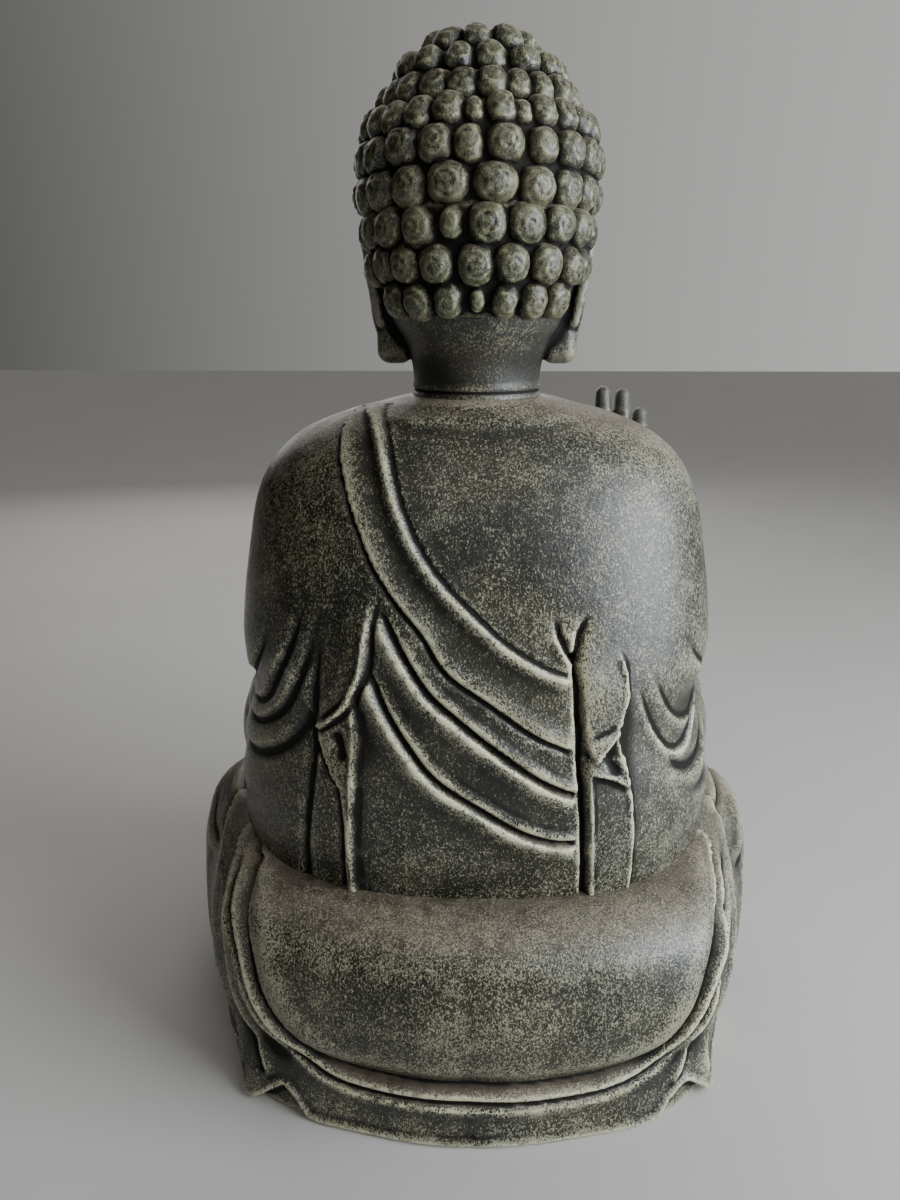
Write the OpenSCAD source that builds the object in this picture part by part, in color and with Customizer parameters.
/* [Lap] */
// Width over the two knees
lap_w = 300; // [290:5:315]
// Depth from the shins at the front to the seat at the back
lap_d = 232; // [228:2:240]
// Height of the flat that the torso stands on
lap_top = 100; // [98:1:102]

/* [Torso] */
// Width over the elbows
torso_w = 236; // [230:2:240]
// Height of the neck joint above the floor
neck_z = 306; // [304:1:308]

/* [Head] */
// Width of the head over the temples, without the curls
head_w = 94; // [90:2:98]
// Height of the crown above the floor, without the curls
crown_z = 441; // [439:1:444]
// Radius of one snail-shell curl
curl_r = 6.4; // [5.8:0.2:6.6]

/* [Casting] */
// Wall thickness of the hollow castings
wall = 6; // [5:0.5:7]
// Flange that the torso stands on, measured inwards
flange = 30; // [28:1:32]

/* [Underside] */
// Thickness of the felt
felt_t = 2; // [1.5:0.5:3]
// Thickness of the closing board
board_t = 10; // [8:1:12]

/* [Hardware] */
// Radius of the tie rod
rod_r = 4; // [3:0.5:5]
// Radius of the dowels between torso and lap
dowel_r = 5; // [4:0.5:6]

/* [Hidden] */

sides = 56;              // points round each section of the lap and torso
head_sides = 48;
limb_sides = 14;
gap = 0.1;               // clearance of a glued pin in its bore
neck_y = 3;              // the neck stands a little behind the middle
spigot_r = 20;
spigot_h = 10;
insert_r = 12;
insert_h = 34;
washer_r = 14;
washer_t = 2;
nut_h = 6.5;
rod_top = neck_z + 18;
roof = lap_top - wall;   // underside of the lap's roof
shelf_t = 8;             // thickness of the torso's flange
board_top = felt_t + board_t;
rim_z = 0.5;             // the casting's rim clears the floor, and the felt stands inside it
boss_at = [95, 62];      // screw bosses, mirrored to the four corners
boss_r = 8;
foot_t = 6;              // extra thickness of the wall at its rim, round the board
screw_r = 2;
screw_reach = 16;        // how far a screw goes into its boss
dowel_points = [[99, 0], [-99, 0], [0, 62], [0, -46]];
dowel_h = wall + shelf_t;
pin_r = 3;
pin_reach = 13;          // how far a wrist pin goes into the sleeve, and into the hand
wrist_r = 13;            // forearm where it enters its sleeve
socket_depth = 12;
stub_h = 18;             // forearm from its seat to the wrist
bronze = [0.21, 0.20, 0.16];
hair_bronze = [0.17, 0.16, 0.13];
steel = [0.62, 0.63, 0.65];
wood = [0.66, 0.52, 0.36];
felt = [0.08, 0.16, 0.11];

// ---- curves, sections and skins ----
function sum(v, i = 0) = i >= len(v) ? 0 : v[i] + sum(v, i + 1);
function mean(points) = [for (i = [0 : 2]) sum([for (p = points) p[i]]) / len(points)];
function unit(v) = v / norm(v);
function reverse(list) = [for (i = [len(list) - 1 : -1 : 0]) list[i]];
function row(list, i) = list[max(0, min(len(list) - 1, i))];
function blend4(a, b, c, d, t) =
    0.5 * (2 * b + (c - a) * t + (2 * a - 5 * b + 4 * c - d) * t * t + (3 * b - a - 3 * c + d) * t * t * t);

// Smooth curve through the rows of a list, where u counts the rows from 0
function station(list, u) =
    let (i = max(0, min(floor(u), len(list) - 2)))
    blend4(row(list, i - 1), row(list, i), row(list, i + 1), row(list, i + 2), u - i);
function stations(list, steps) = [for (i = [0 : steps]) station(list, i * (len(list) - 1) / steps)];

// A section is [height, half width, reach to the back, reach to the front, squareness]
function power(v, e) = sign(v) * pow(abs(v), 2 / e);
function section_point(s, a) =
    let (y = power(sin(a), s[4]))
    [s[1] * power(cos(a), s[4]), y > 0 ? s[2] * y : -s[3] * y, s[0]];
function ring(s, n) = [for (k = [0 : n - 1]) section_point(s, 360 * k / n)];
function inset(s, t) = [s[0], s[1] - t, s[2] - t, s[3] + t, s[4]];
function at_height(s, z) = [z, s[1], s[2], s[3], s[4]];

// Closed skin over rings that run downwards, with a fan at each end
module skin(rings) {
    n = len(rings[0]);
    last = len(rings) - 1;
    points = concat([for (r = rings) each r], [mean(rings[0]), mean(rings[last])]);
    first_hub = n * (last + 1);
    walls = [for (j = [0 : last - 1], k = [0 : n - 1])
        let (a = j * n + k, b = j * n + (k + 1) % n)
        each [[a, b, a + n], [b, b + n, a + n]]];
    ends = [for (k = [0 : n - 1])
        let (next = (k + 1) % n)
        each [[next, k, first_hub], [last * n + k, last * n + next, first_hub + 1]]];
    polyhedron(points = points, faces = concat(walls, ends));
}
module loft(list, n) skin([for (s = reverse(list)) ring(s, n)]);

// Round-ended limb along a path; a size is [across, thick], and thick lies along ref
function limb_ring(p, t, size, ref) =
    let (side = unit(cross(ref, t)), b = cross(t, side))
    [for (k = [0 : limb_sides - 1]) let (a = 360 * k / limb_sides)
        p + size[0] * cos(a) * side - size[1] * sin(a) * b];
module limb(path, sizes, ref) {
    last = len(path) - 1;
    t0 = unit(path[1] - path[0]);
    t1 = unit(path[last] - path[last - 1]);
    s0 = sizes[0];
    s1 = sizes[last];
    skin(concat(
        [limb_ring(path[0] - 0.9 * s0[1] * t0, t0, 0.35 * s0, ref),
         limb_ring(path[0] - 0.6 * s0[1] * t0, t0, 0.8 * s0, ref)],
        [for (i = [0 : last])
            limb_ring(path[i], unit(row(path, i + 1) - row(path, i - 1)), sizes[i], ref)],
        [limb_ring(path[last] + 0.6 * s1[1] * t1, t1, 0.8 * s1, ref),
         limb_ring(path[last] + 0.9 * s1[1] * t1, t1, 0.35 * s1, ref)]));
}

// Puts children at a, with their +Z along direction d
module aim(a, d) {
    translate(a) rotate([0, acos(d[2] / norm(d)), atan2(d[1], d[0])]) children();
}
module mirrored(at) {
    for (sx = [-1, 1], sy = [-1, 1]) translate([sx * at[0], sy * at[1], 0]) children();
}

// ---- lap: folded legs and the hanging robe, one hollow casting open below ----
hw = lap_w / 2;
hd = lap_d / 2;
lap_stations = [
    [rim_z,        hw - 12, hd - 3,  3 - hd,  2.6],
    [20,           hw - 9,  hd - 1,  1 - hd,  2.6],
    [45,           hw - 2,  hd,      -hd,     2.5],
    [64,           hw,      hd - 3,  4 - hd,  2.4],
    [80,           hw - 5,  hd - 9,  12 - hd, 2.4],
    [92,           hw - 15, hd - 20, 24 - hd, 2.4],
    [lap_top - 1,  hw - 27, hd - 28, 40 - hd, 2.4],
    [lap_top,      hw - 31, hd - 33, 46 - hd, 2.4]];
lap_rings = stations(lap_stations, 14);
lap_inner = [for (s = lap_rings) if (s[0] < roof - 3) inset(s, wall + foot_t * max(0, 1 - s[0] / 45))];
lap_inner_top = inset(at_height(lap_rings[14], roof), 12);

module lap_casting() {
    color(bronze) difference() {
        union() {
            skin([for (s = concat(reverse(lap_rings), lap_inner, [lap_inner_top])) ring(s, sides)]);
            mirrored(boss_at) translate([0, 0, board_top]) cylinder(r = boss_r, h = roof - board_top + 1, $fn = 48);
        }
        translate([0, neck_y, roof - 1]) cylinder(r = rod_r + 0.5, h = wall + 2, $fn = 48);
        for (p = dowel_points) translate([p[0], p[1], roof - 1]) cylinder(r = dowel_r + gap, h = wall + 2, $fn = 48);
        mirrored(boss_at) translate([0, 0, board_top - 1]) cylinder(r = screw_r, h = screw_reach + 1, $fn = 32);
    }
}

// ---- torso: robed body, hollow, with a flange below and the neck socket on top, and two solid sleeves ----
tw = torso_w / 2;
torso_stations = [
    [lap_top,      tw - 2,  81, -62, 2.3],
    [132,          tw,      82, -63, 2.3],
    [162,          tw - 1,  79, -60, 2.3],
    [192,          tw - 5,  73, -54, 2.3],
    [222,          tw - 9,  67, -50, 2.3],
    [246,          tw - 14, 61, -47, 2.3],
    [266,          tw - 22, 55, -42, 2.3],
    [281,          tw - 34, 49, -37, 2.3],
    [293,          tw - 54, 42, -32, 2.2],
    [301,          tw - 74, 36, -28, 2.1],
    [neck_z,       30,      33, -26, 2]];
torso_rings = stations(torso_stations, 22);
torso_inner = [for (s = torso_rings) if (s[0] > lap_top + shelf_t + 3 && s[0] < 275) inset(s, wall + 1)];
torso_foot = inset(torso_rings[0], flange);
torso_shelf = [torso_foot, at_height(torso_foot, lap_top + shelf_t),
               at_height(inset(torso_rings[0], wall + 1), lap_top + shelf_t)];
torso_inner_top = [282, 40, 24, -16, 2];

// The right forearm rises before the shoulder, and the left one comes down to the lap
right_elbow = [-94, -30, 150];
right_cuff = [-79, -62, 200];
left_elbow = [97, -40, 142];
left_cuff = [64, -74, 125];
elbow_r = 25;
cuff_r = 19;
function forearm(elbow, cuff) = unit(cuff - elbow);
function seat(elbow, cuff) = cuff + (cuff_r - socket_depth) * forearm(elbow, cuff);
function wrist(elbow, cuff) = seat(elbow, cuff) + stub_h * forearm(elbow, cuff);

// Bent forearm in its sleeve, cut to sit against the torso, with the seat of the hand in its cuff
module sleeve(elbow, cuff) {
    color(bronze) difference() {
        hull() {
            translate(elbow) sphere(r = elbow_r, $fn = 28);
            translate(cuff) sphere(r = cuff_r, $fn = 28);
        }
        loft(torso_rings, sides);
        sleeve_bores(elbow, cuff);
    }
}
module sleeve_bores(elbow, cuff) {
    d = forearm(elbow, cuff);
    p = seat(elbow, cuff);
    aim(p, d) cylinder(r = wrist_r + gap, h = 2 * socket_depth, $fn = 48);
    aim(p - (pin_reach + 1) * d, d) cylinder(r = pin_r + gap, h = pin_reach + 2, $fn = 32);
}
module torso_casting() {
    outline = concat(reverse(torso_rings), torso_shelf, torso_inner, [torso_inner_top]);
    color(bronze) difference() {
        skin([for (s = outline) ring(s, sides)]);
        translate([0, neck_y, neck_z - spigot_h]) cylinder(r = spigot_r + gap, h = spigot_h + 1, $fn = 64);
        translate([0, neck_y, 270]) cylinder(r = rod_r + 0.5, h = 40, $fn = 48);
        for (p = dowel_points) translate([p[0], p[1], lap_top - 1]) cylinder(r = dowel_r + gap, h = shelf_t + 2, $fn = 48);
    }
}
module right_sleeve() sleeve(right_elbow, right_cuff);
module left_sleeve() sleeve(left_elbow, left_cuff);

// ---- hands: drawn with the wrist at the origin, fingers along +Z, thumb towards +X, palm towards -Y ----
palm_stations = [
    [-6, 8,  6, -6, 2],
    [6,  12, 8, -9, 2.1],
    [22, 17, 8, -10, 2.2],
    [38, 19, 7, -9, 2.3],
    [50, 18, 6, -7, 2.3],
    [54, 14, 4, -5, 2.2]];
finger_x = [13.5, 4.6, -4.6, -13.4];
finger_tip = [74, 78, 77, 67];

module finger(i) {
    base = [finger_x[i], -1, 46];
    tip = [finger_x[i] * 1.05, -3, finger_tip[i]];
    limb([base, tip], [[4.5, 4.6], [3.9, 3.8]], [0, 1, 0]);
}
// Chain of round links through a few joints
module links(path, radii) {
    for (i = [0 : len(path) - 2]) hull() {
        translate(path[i]) sphere(r = radii[i], $fn = 20);
        translate(path[i + 1]) sphere(r = radii[i + 1], $fn = 20);
    }
}
module palm() loft(stations(palm_stations, 10), 28);
module wrist_stub(elbow, cuff) {
    from = seat(elbow, cuff);
    d = forearm(elbow, cuff);
    difference() {
        aim(from, d) cylinder(r1 = wrist_r, r2 = 10.5, h = stub_h, $fn = 48);
        aim(from - d, d) cylinder(r = pin_r + gap, h = pin_reach + 1, $fn = 32);
    }
}
module right_hand() {
    color(bronze) {
        wrist_stub(right_elbow, right_cuff);
        translate(wrist(right_elbow, right_cuff)) {
            palm();
            for (i = [1 : 3]) finger(i);
            links([[13.5, -2, 46], [15, -14, 62], [12, -25, 53]], [4.6, 4.2, 3.6]);
            links([[12, -5, 12], [18, -16, 27], [13, -24, 43.5]], [6.4, 5, 3.7]);
        }
    }
}
// Turns a hand so that its fingers run along -X with the palm up
palm_up = [[0, 0, -1, 0], [1, 0, 0, 0], [0, -1, 0, 0], [0, 0, 0, 1]];
module left_hand() {
    color(bronze) {
        wrist_stub(left_elbow, left_cuff);
        translate(wrist(left_elbow, left_cuff)) multmatrix(palm_up) mirror([1, 0, 0]) {
            palm();
            for (i = [0 : 3]) finger(i);
            links([[12, -4, 12], [18, -9, 28], [16, -10, 47]], [6.4, 5, 3.7]);
        }
    }
}

// ---- head: neck with its spigot, face, ears and skull, hollow through the neck ----
hr = head_w / 2;
head_stations = [
    [neck_z,        28,      31,      -23,     2],
    [neck_z + 10,   27,      31,      -22,     2],
    [neck_z + 19,   28,      35,      -26,     2],
    [neck_z + 28,   34,      41,      -45,     2],
    [neck_z + 40,   hr - 6,  hr,      -hr - 4, 2.1],
    [neck_z + 54,   hr - 2,  hr + 4,  -hr - 5, 2.1],
    [neck_z + 68,   hr - 1,  hr + 6,  -hr - 5, 2.1],
    [crown_z - 55,  hr,      hr + 6,  -hr - 6, 2.1],
    [crown_z - 43,  hr - 1,  hr + 4,  -hr - 5, 2],
    [crown_z - 33,  hr - 4,  hr - 1,  -hr,     2],
    [crown_z - 25,  hr - 10, hr - 8,  7 - hr,  2],
    [crown_z - 19,  34,      34,      -34,     2],
    [crown_z - 12,  29,      29,      -29,     2],
    [crown_z - 5,   21,      21,      -21,     2],
    [crown_z - 1.5, 12,      12,      -12,     2],
    [crown_z,       4,       4,       -4,      2]];
head_rows = len(head_stations) - 1;
hollow_r = hr - 10;

module ear(side) {
    limb([[side * (hr - 1), -4, 366], [side * (hr + 1), 1, 348], [side * (hr - 7), -1, 325]],
         [[9, 4.5], [8, 4], [6.5, 5]], [1, 0, 0]);
}
module face() {
    front = -hr - 5;
    limb([[0, front + 3, 381], [0, front - 3, 364], [0, front - 6, 357]],
         [[3.2, 4], [4, 5], [6.5, 5]], [0, 1, 0]);
    for (s = [-1, 1]) {
        limb([[s * 27, front + 15, 379], [s * 17, front + 7, 381], [s * 8, front + 4, 377]],
             [[2, 2], [2.4, 2.4], [2, 2]], [0, 0, 1]);
        limb([[s * 26, front + 12, 369], [s * 17, front + 6, 368], [s * 9, front + 6, 369]],
             [[3, 3], [4, 4], [3, 3]], [0, 0, 1]);
    }
    limb([[-11, front + 4, 344], [0, front + 1, 343], [11, front + 4, 344]],
         [[2, 2], [3, 3.2], [2, 2]], [0, 0, 1]);
}
module head_casting() {
    color(bronze) difference() {
        union() {
            loft(stations(head_stations, 30), head_sides);
            ear(1);
            ear(-1);
            face();
            translate([0, neck_y, neck_z - spigot_h]) cylinder(r = spigot_r, h = spigot_h + 1, $fn = 64);
        }
        translate([0, neck_y, 0]) rotate_extrude($fn = 64)
            polygon([[0, neck_z - spigot_h - 1], [insert_r + gap, neck_z - spigot_h - 1],
                     [insert_r + gap, neck_z + insert_h - spigot_h], [hollow_r - 9, neck_z + 50],
                     [hollow_r, neck_z + 68], [hollow_r, crown_z - 55], [hollow_r - 12, crown_z - 30],
                     [16, crown_z - 12], [0, crown_z - 9]]);
        urna_seat();
    }
}

// ---- urna: a small bead pressed into the forehead ----
urna_r = 4;
urna_at = [0, -hr - 5.4, crown_z - 57];
module urna_seat() translate(urna_at) rotate([90, 0, 0]) translate([0, 0, -3]) cylinder(r = 2 + gap, h = 12, $fn = 32);
module urna_bead() {
    color(bronze) translate(urna_at) rotate([90, 0, 0]) {
        translate([0, 0, -3]) cylinder(r = 2, h = 5, $fn = 32);
        translate([0, 0, 1]) intersection() {
            sphere(r = urna_r, $fn = 32);
            cylinder(r = urna_r, h = urna_r, $fn = 32);
        }
    }
}

// ---- curls: flat-footed snail shells glued to the scalp in staggered rows ----
curl_pitch = 2.08 * curl_r;
row_pitch = 2.03 * curl_r;
first_row_z = neck_z + 41;
topknot_drops = [2, 8.5, 18];   // rows of the topknot, below the crown
// The hairline dips from the forehead to the nape, and clears the ears
function hairline(a) = abs(cos(a)) > 0.96 ? neck_z + 74 : neck_z + 39 + 54 * pow((1 - sin(a)) / 2, 1.7);
function scalp(u, a) = section_point(station(head_stations, u), a);
function scalp_normal(u, a) = unit(cross(scalp(u, a + 1) - scalp(u, a - 1), scalp(u + 0.05, a) - scalp(u - 0.05, a)));
// Row in head_stations at a height, found by halving
function row_at(z, lo = 2, hi = head_rows, n = 16) =
    n == 0 ? (lo + hi) / 2 :
    let (mid = (lo + hi) / 2)
    station(head_stations, mid)[0] < z ? row_at(z, mid, hi, n - 1) : row_at(z, lo, mid, n - 1);

module curl() {
    centre_h = 0.35 * curl_r;
    side_a = asin(0.35);
    rotate_extrude($fn = 24)
        polygon(concat([[0, 0]], [for (i = [0 : 8]) let (a = -side_a + i * (90 + side_a) / 8)
            [curl_r * cos(a), centre_h + curl_r * sin(a)]]));
}
module curl_row(z, shift) {
    u = row_at(z);
    s = station(head_stations, u);
    count = floor(360 / (2 * asin(curl_pitch / 2 / min(s[1], s[2]))));
    for (k = [0 : count - 1]) {
        a = 90 + 360 * (k + shift) / count;
        if (z > hairline(a)) aim(scalp(u, a), scalp_normal(u, a)) curl();
    }
}
module curl_rows(first, last) {
    color(hair_bronze) for (i = [first : last]) curl_row(first_row_z + i * row_pitch, i % 2 / 2);
}
module nape_curls() curl_rows(0, 2);
module scalp_curls() curl_rows(3, 5);
module topknot_curls() {
    color(hair_bronze) {
        translate([0, 0, crown_z]) curl();
        for (i = [0 : 2]) curl_row(crown_z - topknot_drops[i], i / 2);
    }
}

// ---- hardware inside ----
module neck_insert() {
    color(steel) translate([0, neck_y, neck_z - spigot_h]) difference() {
        cylinder(r = insert_r, h = insert_h, $fn = 64);
        translate([0, 0, -1]) cylinder(r = rod_r, h = rod_top - neck_z + spigot_h + 1, $fn = 48);
    }
}
module tie_rod() {
    low = roof - washer_t - nut_h - 4;
    color(steel) translate([0, neck_y, low]) cylinder(r = rod_r, h = rod_top - low, $fn = 48);
}
module tie_nut() {
    color(steel) translate([0, neck_y, roof - washer_t - nut_h]) difference() {
        cylinder(r = 7.5, h = nut_h, $fn = 6);
        translate([0, 0, -1]) cylinder(r = rod_r, h = nut_h + 2, $fn = 48);
    }
}
module tie_washer() {
    color(steel) translate([0, neck_y, roof - washer_t]) difference() {
        cylinder(r = washer_r, h = washer_t, $fn = 64);
        translate([0, 0, -1]) cylinder(r = rod_r + 0.5, h = washer_t + 2, $fn = 48);
    }
}
module torso_dowels() {
    color(wood) for (p = dowel_points) translate([p[0], p[1], roof]) cylinder(r = dowel_r, h = dowel_h, $fn = 48);
}
module wrist_pin(elbow, cuff) {
    d = forearm(elbow, cuff);
    color(steel) aim(seat(elbow, cuff) - pin_reach * d, d) cylinder(r = pin_r, h = 2 * pin_reach, $fn = 32);
}
module right_wrist_pin() wrist_pin(right_elbow, right_cuff);
module left_wrist_pin() wrist_pin(left_elbow, left_cuff);

// ---- underside ----
module base_outline(t) polygon([for (p = ring(inset(lap_stations[0], t), sides)) [p[0], p[1]]]);
module base_board() {
    color(wood) translate([0, 0, felt_t]) difference() {
        linear_extrude(board_t) base_outline(wall + foot_t + 0.5);
        mirrored(boss_at) {
            translate([0, 0, -1]) cylinder(r = screw_r + 0.3, h = board_t + 2, $fn = 32);
            translate([0, 0, -0.01]) cylinder(r1 = 2 * screw_r + 0.2, r2 = screw_r + 0.2, h = screw_r + 0.2, $fn = 32);
        }
    }
}
module base_screws() {
    color(steel) mirrored(boss_at) translate([0, 0, felt_t]) {
        cylinder(r1 = 2 * screw_r, r2 = screw_r, h = screw_r, $fn = 32);
        cylinder(r = screw_r, h = board_t + screw_reach, $fn = 32);
    }
}
module felt_pad() {
    color(felt) linear_extrude(felt_t) base_outline(wall + foot_t + 3);
}

lap_casting();
torso_casting();
right_sleeve();
left_sleeve();
right_hand();
left_hand();
head_casting();
nape_curls();
scalp_curls();
topknot_curls();
urna_bead();
neck_insert();
tie_rod();
tie_nut();
tie_washer();
torso_dowels();
right_wrist_pin();
left_wrist_pin();
base_board();
base_screws();
felt_pad();
